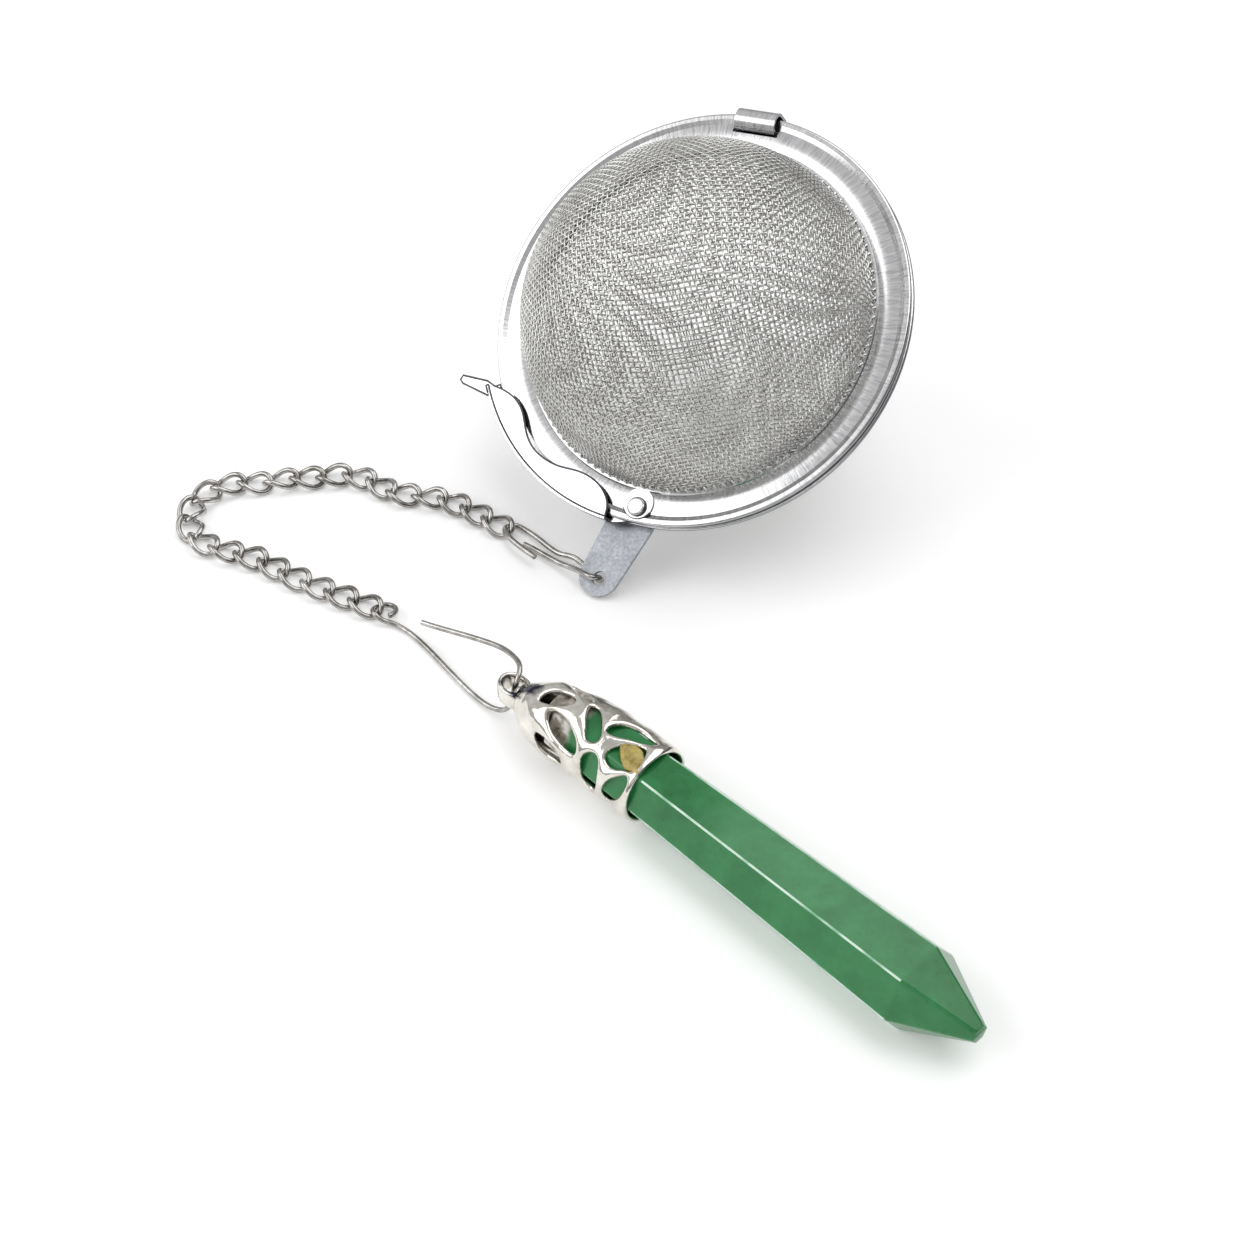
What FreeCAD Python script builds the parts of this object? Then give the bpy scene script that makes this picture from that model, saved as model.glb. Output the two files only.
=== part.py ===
# Mesh ball tea infuser on a curb chain with a capped crystal charm.
#
# Row frame: +Z up, table top at Z = 0, origin where the rear mesh bowl rests
# on the table.  Ball frame: origin at the ball's centre, z along the flange
# normal (front, away from the table), +y towards the hinge, parting plane z = 0.
import FreeCAD, Part
import os, math
from FreeCAD import Vector as V

doc = FreeCAD.newDocument("tea_infuser")
sheet = doc.addObject("Spreadsheet::Sheet", "Dims")


class Q:
    """A length with its value and the text of the expression that drives it."""
    def __init__(self, v, t): self.v, self.t = float(v), t
    def _o(self, b, op, rev=False):
        b = b if isinstance(b, Q) else Q(b, repr(float(b)))
        x, y = (b, self) if rev else (self, b)
        v = {"+": x.v + y.v, "-": x.v - y.v, "*": x.v * y.v}[op]
        return Q(v, "(" + x.t + " " + op + " " + y.t + ")")
    def __add__(self, b): return self._o(b, "+")
    def __radd__(self, b): return self._o(b, "+", True)
    def __sub__(self, b): return self._o(b, "-")
    def __rsub__(self, b): return self._o(b, "-", True)
    def __mul__(self, b): return self._o(b, "*")
    def __rmul__(self, b): return self._o(b, "*", True)
    def __neg__(self): return Q(-self.v, "(0 - " + self.t + ")")


D = {}
rows = [
    ("rim_rad", 25.0), ("ring_in", 20.82), ("dome_rad", 20.8), ("mesh_thk", 0.5),
    ("gap_half", 0.35), ("ring_thk", 0.37), ("bead_rise", 0.6), ("bead_wide", 0.7),
    ("lip_rise", 0.5), ("band_crown", 8.0), ("boss_rad", 2.25), ("boss_top", 1.02),
    ("tilt_elev", 54.6), ("tilt_azim", -127.74), ("hinge_turn", 14.2),
    ("slot_in", 22.62), ("slot_out", 23.36), ("slot_wide", 5.6),
    ("hinge_rad", 24.2), ("hinge_hi", 0.65), ("strap_thk", 0.35), ("strap_bend", 1.05), ("strap_wide", 5.0),
    ("tab_thk", 0.4), ("tab_back", 0.97), ("tab_hole", 0.88), ("tab_end", 2.5),
    ("rivet_rad", 0.7), ("rivet_head", 1.12), ("rivet_y", -23.19), ("rivet_x", -0.27), ("rivet_top", 1.55),
    ("lever_thk", 0.3), ("lever_wall_in", 25.2), ("lever_wall_thk", 0.32), ("lever_open", 3.0),
    ("lever_flap", 1.12), ("lever_lip", 1.12), ("lever_eye", 1.65),
    ("clasp_wire", 0.34), ("link_wire", 0.33), ("link_half", 2.0), ("link_side", 1.4), ("pitch", 3.14),
    ("hook_wire", 0.31), ("eye_rad", 1.3),
    ("cap_rad", 4.75), ("cap_wall", 0.5), ("cap_len", 14.6), ("cap_neck", 1.5),
    ("crys_cap", 4.15), ("crys_wide", 5.15), ("crys_len", 58.6), ("crys_shoulder", 49.6), ("crys_tip", 1.1),
]
for i, (nm, val) in enumerate(rows, 1):
    sheet.set("A%d" % i, nm)
    sheet.set("B%d" % i, repr(val))
    sheet.setAlias("B%d" % i, nm)
    D[nm] = Q(val, "Dims." + nm)
doc.recompute()


def rot(col_x, col_y, col_z):
    m = FreeCAD.Matrix(col_x.x, col_y.x, col_z.x, 0, col_x.y, col_y.y, col_z.y, 0,
                       col_x.z, col_y.z, col_z.z, 0, 0, 0, 0, 1)
    return FreeCAD.Placement(m).Rotation


# ---- the ball's attitude -------------------------------------------------
el, az = math.radians(D["tilt_elev"].v), math.radians(D["tilt_azim"].v)
nrm = V(math.cos(el) * math.cos(az), math.cos(el) * math.sin(az), math.sin(el))
slope = V(0, 0, 1) - nrm * nrm.z
slope.normalize()
level = slope.cross(nrm)
ht = math.radians(D["hinge_turn"].v)
by = slope * math.cos(ht) - level * math.sin(ht)      # towards the hinge
bx = by.cross(nrm)
centre = V(0, 0, D["dome_rad"].v)
BALL = FreeCAD.Placement(centre, rot(bx, by, nrm))


def ball(x, y, z):
    return BALL.multVec(V(x, y, z))


IDENT = FreeCAD.Placement()
nodes = []


def body(label, place=IDENT):
    b = doc.addObject("PartDesign::Body", label)
    b.Label = label
    b.Placement = place
    nodes.append(b)
    return b


def sketch(b, plane="XY", off=None, turn=0.0):
    s = b.newObject("Sketcher::SketchObject", b.Name + "_sk")
    r = {"XY": FreeCAD.Rotation(), "XZ": FreeCAD.Rotation(V(1, 0, 0), 90),
         "YZ": FreeCAD.Rotation(V(1, 1, 1), 120)}[plane]
    s.Placement = FreeCAD.Placement(off or V(0, 0, 0), FreeCAD.Rotation(V(0, 0, 1), turn).multiply(r))
    return s


def q(v):
    return v if isinstance(v, Q) else Q(v, repr(float(v)))


def bind(s, idx, name, val):
    s.renameConstraint(idx, name)
    if "Dims." in val.t:
        s.setExpression("Constraints." + name, val.t)


def outline(s, pts, arcs=None):
    """Closed outline through pts, each driven by two dimensions; arcs maps an
    edge's number to (radius, +1 counter-clockwise or -1 clockwise)."""
    arcs = arcs or {}
    n = len(pts)
    import Sketcher
    base = len(s.Geometry)
    P = [V(q(x).v, q(y).v, 0) for x, y in pts]
    ends = []
    for i in range(n):
        a, b_ = P[i], P[(i + 1) % n]
        if i in arcs:
            rad, sense = arcs[i]
            rv = q(rad).v
            m = (a + b_) * 0.5
            h = (b_ - a).Length / 2
            k = math.sqrt(max(rv * rv - h * h, 0))
            t = (b_ - a); t.normalize()
            left = V(-t.y, t.x, 0)
            c = m + left * k if sense > 0 else m - left * k
            st, en = (a, b_) if sense > 0 else (b_, a)
            a1 = math.atan2(st.y - c.y, st.x - c.x)
            a2 = math.atan2(en.y - c.y, en.x - c.x)
            if a2 <= a1:
                a2 += 2 * math.pi
            g = s.addGeometry(Part.ArcOfCircle(Part.Circle(c, V(0, 0, 1), rv), a1, a2), False)
            ends.append((g, 1, 2) if sense > 0 else (g, 2, 1))
        else:
            g = s.addGeometry(Part.LineSegment(a, b_), False)
            ends.append((g, 1, 2))
    for i in range(n):
        g, p0, _ = ends[i]
        gp, _, pe = ends[i - 1]
        s.addConstraint(Sketcher.Constraint("Coincident", gp, pe, g, p0))
    for i in range(n):
        g, p0, _ = ends[i]
        x, y = q(pts[i][0]), q(pts[i][1])
        j = s.addConstraint(Sketcher.Constraint("DistanceX", -1, 1, g, p0, x.v))
        bind(s, j, "x%d_%d" % (base, i), x)
        j = s.addConstraint(Sketcher.Constraint("DistanceY", -1, 1, g, p0, y.v))
        bind(s, j, "y%d_%d" % (base, i), y)
    for i in arcs:
        rad = q(arcs[i][0])
        j = s.addConstraint(Sketcher.Constraint("Radius", ends[i][0], rad.v))
        bind(s, j, "r%d_%d" % (base, i), rad)


def circle(s, cx, cy, r):
    import Sketcher
    cx, cy, r = q(cx), q(cy), q(r)
    base = len(s.Geometry)
    g = s.addGeometry(Part.Circle(V(cx.v, cy.v, 0), V(0, 0, 1), r.v), False)
    for kind, val, tag in (("DistanceX", cx, "cx"), ("DistanceY", cy, "cy")):
        j = s.addConstraint(Sketcher.Constraint(kind, -1, 1, g, 3, val.v))
        bind(s, j, "%s%d" % (tag, base), val)
    j = s.addConstraint(Sketcher.Constraint("Radius", g, r.v))
    bind(s, j, "cr%d" % base, r)


def feature(b, kind, s, **kw):
    f = b.newObject("PartDesign::" + kind, b.Name + "_" + kind.lower())
    f.Profile = s
    for k, v in kw.items():
        if isinstance(v, Q):
            setattr(f, k, v.v)
            if "Dims." in v.t:
                f.setExpression(k, v.t)
        else:
            setattr(f, k, v)
    s.Visibility = False
    return f


def revolve(b, s, axis):
    f = feature(b, "Revolution", s, Angle=360.0)
    f.ReferenceAxis = (s, [axis])
    return f


def pocket(b, s, length, reversed_=False, mid=False):
    doc.recompute()
    before = b.Shape.Volume
    f = feature(b, "Pocket", s, Length=length)
    f.Reversed = reversed_
    f.Midplane = mid
    doc.recompute()
    if not b.Shape.Volume < before - 1e-3:
        raise RuntimeError("a pocket cut nothing in " + b.Label)
    return f


def solid(label, shape, place=IDENT):
    o = doc.addObject("Part::Feature", label)
    o.Label = label
    o.Shape = shape
    o.Placement = place
    nodes.append(o)
    return o


# ---- the two pressed rings --------------------------------------------------
g, tk = D["gap_half"], D["ring_thk"]
ri, ro = D["ring_in"], D["rim_rad"]
bead = D["bead_rise"]


def ring_profile(s, sgn):
    """Flat annulus with a rolled bead at the rim and a small lip at the mesh."""
    z = lambda e: e if sgn > 0 else -e
    hb = bead * 0.5
    pts = [(ri, z(g)), (ro - hb, z(g)), (ro, z(g + hb)), (ro - hb, z(g + bead)),
           (ro - D["bead_wide"], z(g + bead)), (ro - D["bead_wide"] - 0.55, z(g + tk)),
           (ri + 0.42, z(g + tk)), (ri + 0.3, z(g + D["lip_rise"])), (ri, z(g + D["lip_rise"]))]
    arcs = {1: (hb, sgn), 2: (hb, sgn)}
    if sgn > 0:                       # the front band is pressed slightly crowned
        arcs[5] = (D["band_crown"], 1)
    outline(s, pts, arcs)


b = body("back_ring", BALL)
s = sketch(b, "XZ")
ring_profile(s, -1)
revolve(b, s, "V_Axis")

b = body("front_ring", BALL)
s = sketch(b, "XZ")
ring_profile(s, 1)
revolve(b, s, "V_Axis")
# stamped round boss that carries the latch rivet
s = sketch(b, "XY", V(0, 0, g.v))
s.setExpression("Placement.Base.z", g.t)
circle(s, D["rivet_x"], D["rivet_y"] + 0.42, D["boss_rad"] - 0.45)
feature(b, "Pad", s, Length=D["boss_top"] - g)
# slot for the hinge strap
s = sketch(b, "XY", V(0, 0, -1))
w = D["slot_wide"] * 0.5
outline(s, [(-w, D["slot_in"]), (w, D["slot_in"]), (w, D["slot_out"]), (-w, D["slot_out"])])
pocket(b, s, 4.0, reversed_=True)
# rivet hole
s = sketch(b, "XY", V(0, 0, -1))
circle(s, D["rivet_x"], D["rivet_y"], D["rivet_rad"] + 0.01)
pocket(b, s, 4.0, reversed_=True)

# ---- the two mesh bowls: thin closed hemispherical skins -------------------
for label, sgn in (("back_mesh", -1), ("front_mesh", 1)):
    b = body(label, BALL)
    s = sketch(b, "XZ")
    R, t = D["dome_rad"], D["mesh_thk"]
    e = 0.4
    xo = math.sqrt(R.v ** 2 - e * e)
    xi = math.sqrt((R.v - t.v) ** 2 - e * e)
    pts = [(0.0, R * sgn), (0.0, (R - t) * sgn), (xi, e * sgn), (xo, e * sgn)]
    outline(s, pts, {1: (R - t, -sgn), 3: (R, sgn)})
    revolve(b, s, "V_Axis")

# ---- hinge clip: strip through the front ring's slot, round both rims --------
b = body("hinge_clip", BALL)
s = sketch(b, "YZ", V(0, 0, 0))
hr, hz, st, sb = D["hinge_rad"], D["hinge_hi"], D["strap_thk"], D["strap_bend"]
down = 0.28                          # the strip's inner end dips into the slot
ca, sa = math.cos(math.radians(4)), math.sin(math.radians(4))
lo = -(g + bead + 0.02)              # upper face of the leg under the back rim
pts = [(hr - sb * ca, hz - down), (hr - sb * ca, hz + sb * sa), (hr + sb, hz), (hr + sb, lo + 0.0),
       (ro - D["bead_wide"] - 0.7, lo), (ro - D["bead_wide"] - 1.0, -(g + tk) - 0.01), (ri + 1.1, -(g + tk) - 0.01),
       (ri + 1.1, -(g + tk) - 0.01 - st), (ro - D["bead_wide"] - 1.1, -(g + tk) - 0.01 - st),
       (ro - D["bead_wide"] - 0.8, lo - st), (hr + sb + st - 0.4, lo - st), (hr + sb + st, lo - st + 0.4),
       (hr + sb + st, hz), (hr - (sb + st) * ca, hz + (sb + st) * sa), (hr - (sb + st) * ca, hz - down)]
outline(s, pts, {1: (sb, -1), 10: (0.4, 1), 12: (sb + st, 1)})
feature(b, "Pad", s, Length=D["strap_wide"], Midplane=True)

# ---- chain tab with its hole, behind the back ring --------------------------
b = body("chain_tab", BALL)
s = sketch(b, "XY", V(0, 0, -(D["tab_back"].v + D["tab_thk"].v)))
s.setExpression("Placement.Base.z", "0 - Dims.tab_back - Dims.tab_thk")
te = D["tab_end"]
tx, ty = -3.2, -31.55
pts = [(-4.05, -22.95), (tx - te * 0.985, ty + te * 0.17), (tx + te * 0.96, ty - te * 0.26), (1.45, -25.2), (1.75, -22.65)]
outline(s, pts, {1: (te, 1)})
circle(s, -3.05, -31.83, D["tab_hole"])
feature(b, "Pad", s, Length=D["tab_thk"])
# two spot welds hold the tab on the back ring
b = body("tab_welds", BALL)
s = sketch(b, "XY", V(0, 0, -(g.v + tk.v)))
s.setExpression("Placement.Base.z", "0 - Dims.gap_half - Dims.ring_thk")
circle(s, -2.5, -23.2, 0.38)
circle(s, 0.2, -23.2, 0.45)
feature(b, "Pad", s, Length=D["tab_back"] - g - tk, Reversed=True)

# ---- latch rivet ------------------------------------------------------------
rx, ry = D["rivet_x"], D["rivet_y"]
b = body("latch_rivet", BALL)
s = sketch(b, "XZ", V(0, ry.v, 0))
s.setExpression("Placement.Base.y", ry.t)
rr, rh = D["rivet_rad"], D["rivet_head"]
pts = [(rx, -0.26), (rx + 1.05, -0.26), (rx + 1.05, -0.03), (rx + rr, -0.03), (rx + rr, D["boss_top"] + 0.01),
       (rx + rh, D["boss_top"] + 0.01), (rx + rh, D["rivet_top"] - 0.3), (rx + rh - 0.35, D["rivet_top"]), (rx, D["rivet_top"])]
outline(s, pts, {6: (0.4, 1)})
import Sketcher
ln = s.addGeometry(Part.LineSegment(V(rx.v, -2, 0), V(rx.v, 3, 0)), True)
s.addConstraint(Sketcher.Constraint("Vertical", ln))
j = s.addConstraint(Sketcher.Constraint("DistanceX", -1, 1, ln, 1, rx.v))
bind(s, j, "axis_x", rx)
f = feature(b, "Revolution", s, Angle=360.0)
f.ReferenceAxis = (s, ["Axis0"])

# ---- latch lever: one bent plate, hinged on the rivet -----------------------
LEVER = BALL.multiply(FreeCAD.Placement(V(rx.v, ry.v, 0), FreeCAD.Rotation(V(0, 0, 1), D["lever_open"].v)))
# drawn closed, about the rivet, then swung open by lever_open
wi, wt, lt = D["lever_wall_in"], D["lever_wall_thk"], D["lever_thk"]


def polar(r, deg):
    """A point at r, deg about the ball's centre, seen from the rivet."""
    a = math.radians(deg)
    r = q(r)
    return (r * math.cos(a) - rx, r * math.sin(a) - ry)


def sector(r0, r1, a0, a1, z0, z1):
    """Plate between two arcs about the ball's centre."""
    p = []
    n = 14
    o = V(-rx.v, -ry.v, 0)
    def pt(r, a): return o + V(r * math.cos(math.radians(a)), r * math.sin(math.radians(a)), 0)
    am = (a0 + a1) / 2
    w = Part.Wire([Part.Arc(pt(r1, a0), pt(r1, am), pt(r1, a1)).toShape(), Part.LineSegment(pt(r1, a1), pt(r0, a1)).toShape(),
                   Part.Arc(pt(r0, a1), pt(r0, am), pt(r0, a0)).toShape(), Part.LineSegment(pt(r0, a0), pt(r1, a0)).toShape()])
    f_ = Part.Face(w)
    f_.translate(V(0, 0, z0))
    return f_.extrude(V(0, 0, z1 - z0))


a_far = -152.6
zb0, zb1 = 0.02, 0.02 + lt.v
wall_o = wi.v + wt.v
flap0, flap1 = D["lever_flap"].v, D["lever_flap"].v + lt.v
plate = sector(24.15, wi.v, -97.0, a_far, zb0, zb1)
eye = Part.makeCylinder(D["lever_eye"].v, lt.v, V(0, 0, zb0))
o = V(-rx.v, -ry.v, 0)
def pp(r, a): return o + V(r * math.cos(math.radians(a)), r * math.sin(math.radians(a)), zb0)
neck = Part.Face(Part.makePolygon([V(-0.4, 1.6, zb0), pp(24.15, -97.2), pp(24.15, -100), pp(wall_o, -100), pp(wall_o, -97.0), V(-0.2, -1.6, zb0), V(1.2, 0, zb0), V(-0.4, 1.6, zb0)])).extrude(V(0, 0, lt.v))
bore = Part.makeCylinder(rr.v + 0.05, 4, V(0, 0, -1))
w_near, w_far = -98.5, a_far
s_near, s_far = -131.0, a_far + 2.0
drop = -(D["lever_lip"].v + lt.v)
# wavy front flap: outer edge on the wall, inner edge through these points (radius, angle)
wave = [(25.3, -98.6), (23.5, -99.6), (22.2, -103.5), (21.75, -108.5), (21.95, -113.0), (22.75, -118.5),
        (23.35, -124.5), (23.45, -129.5), (22.95, -135.0), (22.35, -140.0), (22.45, -144.5), (23.3, -148.6), (24.8, -152.0)]
wp = [o + V(r * math.cos(math.radians(a)), r * math.sin(math.radians(a)), flap0) for r, a in wave]
bs = Part.BSplineCurve()
bs.interpolate(wp)
s0 = o + V(wall_o * math.cos(math.radians(-98.5)), wall_o * math.sin(math.radians(-98.5)), flap0)
s1 = o + V(wall_o * math.cos(math.radians(a_far)), wall_o * math.sin(math.radians(a_far)), flap0)
sm = o + V(wall_o * math.cos(math.radians(-125.5)), wall_o * math.sin(math.radians(-125.5)), flap0)
flap = Part.Face(Part.Wire([bs.toShape(), Part.LineSegment(wp[-1], s1).toShape(), Part.Arc(s1, sm, s0).toShape(),
                            Part.LineSegment(s0, wp[0]).toShape()])).extrude(V(0, 0, lt.v))
# finger tab: carries the flap on past the wall's far end
def ff(r, a, z=flap0): return o + V(r * math.cos(math.radians(a)), r * math.sin(math.radians(a)), z)
tabw = Part.Face(Part.makePolygon([ff(24.3, -150.8), ff(25.3, -150.0), ff(wall_o, -149.6), ff(28.3, -155.2), ff(28.5, -156.3), ff(28.1, -157.1), ff(25.2, -153.6), ff(24.3, -150.8)])).extrude(V(0, 0, lt.v))
channel = sector(wi.v, wall_o, w_near, w_far, flap0 - 1, flap1 + 1)
flap = flap.fuse(tabw).cut(channel).removeSplitter()
solid("latch_lever", plate.fuse([eye, neck]).cut(sector(wi.v, wall_o + 1, w_near, w_far, -1, 1)).cut(bore).removeSplitter(), LEVER)
solid("latch_flap", flap, LEVER)
solid("latch_lip", sector(24.65, wi.v, s_near, s_far, drop, drop + lt.v), LEVER)
# the outer wall and its skirt behind the rear rim, in short straight-sided spans
for i in range(5):
    a0 = w_near + (w_far - w_near) * i / 5.0
    a1 = w_near + (w_far - w_near) * (i + 1) / 5.0
    solid("latch_wall_%d" % (i + 1), sector(wi.v, wall_o, a0, a1, zb0, flap1), LEVER)
for i in range(2):
    a0 = s_near + (s_far - s_near) * i / 2.0
    a1 = s_near + (s_far - s_near) * (i + 1) / 2.0
    solid("latch_skirt_%d" % (i + 1), sector(wi.v, wall_o, a0, a1, drop, zb0), LEVER)


# ---- round wire along a smooth line ------------------------------------------
def smooth(pts):
    """Cubic line through pts, its parameter running with their spacing."""
    vs = [V(*p) for p in pts]
    par = [0.0]
    for p0, p1 in zip(vs, vs[1:]):
        par.append(par[-1] + (p1 - p0).Length ** 0.5)
    c = Part.BSplineCurve()
    c.interpolate(Points=vs, Parameters=par)
    return c


def wire_solid(pts, rad, closed=False):
    c = smooth(pts)
    e = c.toShape()
    t = c.tangent(c.FirstParameter)[0]
    prof = Part.Wire([Part.Circle(V(*pts[0]), t, rad).toShape()])
    pipe = Part.Wire([e]).makePipeShell([prof], True, False)
    if pipe.Volume < 0:
        pipe.reverse()
    return pipe


# ---- clasp: long S of wire between the tab's hole and the first link --------
H = ball(-3.05, -31.83, -(D["tab_back"].v + D["tab_thk"].v / 2))
def at(base, along, side=V(0, 0, 0)):
    p = base + nrm * along + side
    return (p.x, p.y, p.z)
back2 = ball(-7.2, -30.0, -1.95)
clasp_pts = [(-20.36, -15.95, 0.42), (-18.48, -17.50, 0.60), (-16.13, -19.75, 1.05), (-14.1, -21.75, 1.92),
             at(H, 1.05, V(-0.62, -0.10, 0.05)), at(H, 0.42, V(0.02, 0.02, 0)), at(H, -0.42, V(-0.02, -0.02, 0)),
             at(H, -1.00, V(-0.72, 0.52, 0.0)), (back2.x, back2.y, back2.z), (-16.15, -18.15, 1.02), (-18.51, -15.53, 0.72),
             (-20.65, -13.30, 0.48), (-21.55, -12.86, 0.46), (-22.3, -13.22, 0.64),
             (-22.58, -14.26, 1.10), (-22.2, -15.60, 1.46), (-21.11, -17.13, 1.58), (-18.99, -19.28, 1.62)]
solid("clasp", wire_solid(clasp_pts, D["clasp_wire"].v))

# ---- curb chain: twenty-three twisted oval links ------------------------------
headings = [144, 144, 150, 174, 165, 140, 160, 190, 182, 196, 178, 197, 228, 259, 290, 321, 344, 338, 324, 327, 333, 333, 334]
rolls = [0, 2, -2, 4, -4, 2, 0, -4, -2, 8, 0, 2, 0, 0, 0, -4, -8, 4, 0, 2, -2, 2, 0]
start = V(-22.22, -13.96, 0)
la, lb, lr, pitch = D["link_half"].v, D["link_side"].v, D["link_wire"].v, D["pitch"].v


def link_point(t, roll):
    x = la * math.cos(t)
    y = lb * math.sin(t)
    a = math.radians(45.0 * math.cos(t) + roll)
    return (x, y * math.cos(a), y * math.sin(a))


def link_low(roll):
    return min(link_point(2 * math.pi * k / 180, roll)[2] for k in range(180)) - lr


def link_solid(roll):
    halves = []
    n = 12
    for k in (0, 1):
        pts = [link_point(math.pi * (k + j / n), roll) for j in range(n + 1)]
        c = smooth(pts)
        d = 1e-4
        def tan(t):
            p, r_ = V(*link_point(t - d, roll)), V(*link_point(t + d, roll))
            return (r_ - p) * (0.5 / d)
        t0 = tan(math.pi * k)
        prof = Part.Wire([Part.Circle(V(*pts[0]), t0, lr).toShape()])
        h = Part.Wire([c.toShape()]).makePipeShell([prof], True, False)
        if h.Volume < 0:
            h.reverse()
        halves.append(h)
    return halves[0].fuse(halves[1])


link_place = []
p = start
for i, (hd, rl) in enumerate(zip(headings, rolls)):
    d = V(math.cos(math.radians(hd)), math.sin(math.radians(hd)), 0)
    mid = p + d * (pitch / 2)
    zc = 0.015 - link_low(rl)
    side = V(-d.y, d.x, 0)
    pl = FreeCAD.Placement(V(mid.x, mid.y, zc), rot(d, side, V(0, 0, 1)))
    link_place.append(pl)
    solid("chain_link_%02d" % (i + 1), link_solid(rl), pl)
    p = p + d * pitch

# ---- pendant hook: eye on the last link, long open arms through the bail -----
er, hw = D["eye_rad"].v, D["hook_wire"].v
ec = V(-35.78, -27.30, 0)
eye_pts = []
for a, zz in ((-66, 1.32), (-35, 1.20), (0, 1.0), (40, 0.78), (80, 0.60), (110, 0.54), (140, 0.62), (165, 0.86), (190, 1.13), (215, 1.22), (240, 1.06), (262, 0.76)):
    r = math.radians(a)
    eye_pts.append((ec.x + er * math.cos(r), ec.y + er * math.sin(r), zz))
hook_pts = eye_pts + [(-34.85, -28.85, 0.50), (-33.35, -29.75, 0.38), (-31.35, -31.85, 0.38), (-28.34, -35.87, 0.40),
                      (-25.45, -39.65, 0.46), (-23.30, -41.85, 0.66), (-21.75, -42.85, 1.42), (-20.98, -43.12, 2.9),
                      (-20.72, -43.10, 4.4), (-20.35, -42.75, 5.72), (-20.05, -41.35, 6.30), (-20.9, -38.8, 5.62), (-22.6, -36.6, 4.82),
                      (-27.1, -33.3, 3.45), (-31.33, -30.57, 2.4)]
solid("pendant_hook", wire_solid(hook_pts, hw))

# ---- pendant axis: from the bail towards the crystal's tip ------------------------
pa = math.radians(-45.4)
u = V(math.cos(pa), math.sin(pa), -0.0066)
u.normalize()
side = V(-math.sin(pa), math.cos(pa), 0)
up = u.cross(side)
foot = V(-31.29 + 0.702 * 22.0, -30.85 - 0.712 * 22.0, 4.87)
PEND = FreeCAD.Placement(foot, rot(u, side, up))      # local x along the axis, z up

# cap: domed shell with leaf-shaped openings and a bail at its closed end
b = body("pendant_cap", PEND)
s = sketch(b, "XY")
cr, cw, cl = D["cap_rad"], D["cap_wall"], D["cap_len"]
outline(s, [(-3.2, 0.0), (-2.95, D["cap_neck"]), (-1.2, 2.9), (0.9, cr - 0.35), (2.4, cr), (cl, cr), (cl, cr - cw),
            (2.4, cr - cw), (1.1, cr - cw - 0.35), (-0.8, 2.45), (-2.1, 1.05), (-2.2, 0.0)])
f = feature(b, "Revolution", s, Angle=360.0)
f.ReferenceAxis = (s, ["H_Axis"])
tip = f
for row_no, (x0, ln_, hw_, n_, off) in enumerate(((3.4, 4.6, 1.15, 5, 0.0), (8.6, 4.4, 1.2, 5, 36.0), (0.2, 2.6, 0.75, 5, 36.0))):
    s = sketch(b, "XY")
    s.Placement = FreeCAD.Placement(V(0, 0, 0), FreeCAD.Rotation(V(1, 0, 0), off))
    rr_ = (ln_ * ln_ / 4 + hw_ * hw_) / (2 * hw_)
    outline(s, [(x0, 0.0), (x0 + ln_, 0.0)], {0: (rr_, 1), 1: (rr_, 1)})
    pk = pocket(b, s, 7.0, reversed_=True)
    pat = b.newObject("PartDesign::PolarPattern", "pattern")
    pat.Originals = [pk]
    pat.Axis = (s, ["H_Axis"])
    pat.Angle = 360.0
    pat.Occurrences = n_
    b.Tip = pat
    doc.recompute()
# bail: short band ring across the axis
BAILC = V(-5.9, -0.95, -0.35)
s = sketch(b, "XY", V(BAILC.x, BAILC.y, BAILC.z - 1.3))
outline(s, [(-1.45, 1.65), (-2.15, 0.85), (-2.15, -0.7), (-1.45, -1.5), (2.95, -0.9), (2.95, 2.2)])
feature(b, "Pad", s, Length=2.3)
s = sketch(b, "XY", V(BAILC.x, BAILC.y, BAILC.z - 3))
outline(s, [(-1.0, 1.0), (-1.35, 0.55), (-1.35, -0.4), (-1.0, -0.75), (1.0, -0.75), (1.35, -0.4), (1.35, 0.55), (1.0, 1.0)])
pocket(b, s, 6.0, reversed_=True)

# crystal: tapered six-sided point
ang6 = [5, 66, 128, 184, 240, 300]
def hexagon(x, r):
    return [V(x, r * math.cos(math.radians(a)), r * math.sin(math.radians(a))) for a in ang6]
r_cap, r_wide = D["crys_cap"].v, D["crys_wide"].v
rings = [hexagon(1.6, r_cap - 0.25), hexagon(D["cap_len"].v + 0.4, r_cap + 0.005), hexagon(D["crys_shoulder"].v + 1.2, r_wide),
         hexagon(D["crys_len"].v, D["crys_tip"].v)]
sides = [Part.Face(Part.makePolygon(rings[0] + rings[0][:1])), Part.Face(Part.makePolygon(rings[-1] + rings[-1][:1]))]
for lo_, hi_ in zip(rings, rings[1:]):
    for i in range(6):
        j = (i + 1) % 6
        sides.append(Part.Face(Part.makePolygon([lo_[i], lo_[j], hi_[j], hi_[i], lo_[i]])))
crystal = Part.Solid(Part.Shell(sides))
if crystal.Volume < 0:
    crystal.reverse()
solid("crystal", crystal, PEND)
# adhesive plug between the crystal's hidden end and the cap
glue = Part.makeCylinder(cr.v - cw.v - 1.1, 1.3, V(0.3, 0, 0), V(1, 0, 0))
solid("cap_adhesive", glue, PEND)

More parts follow.
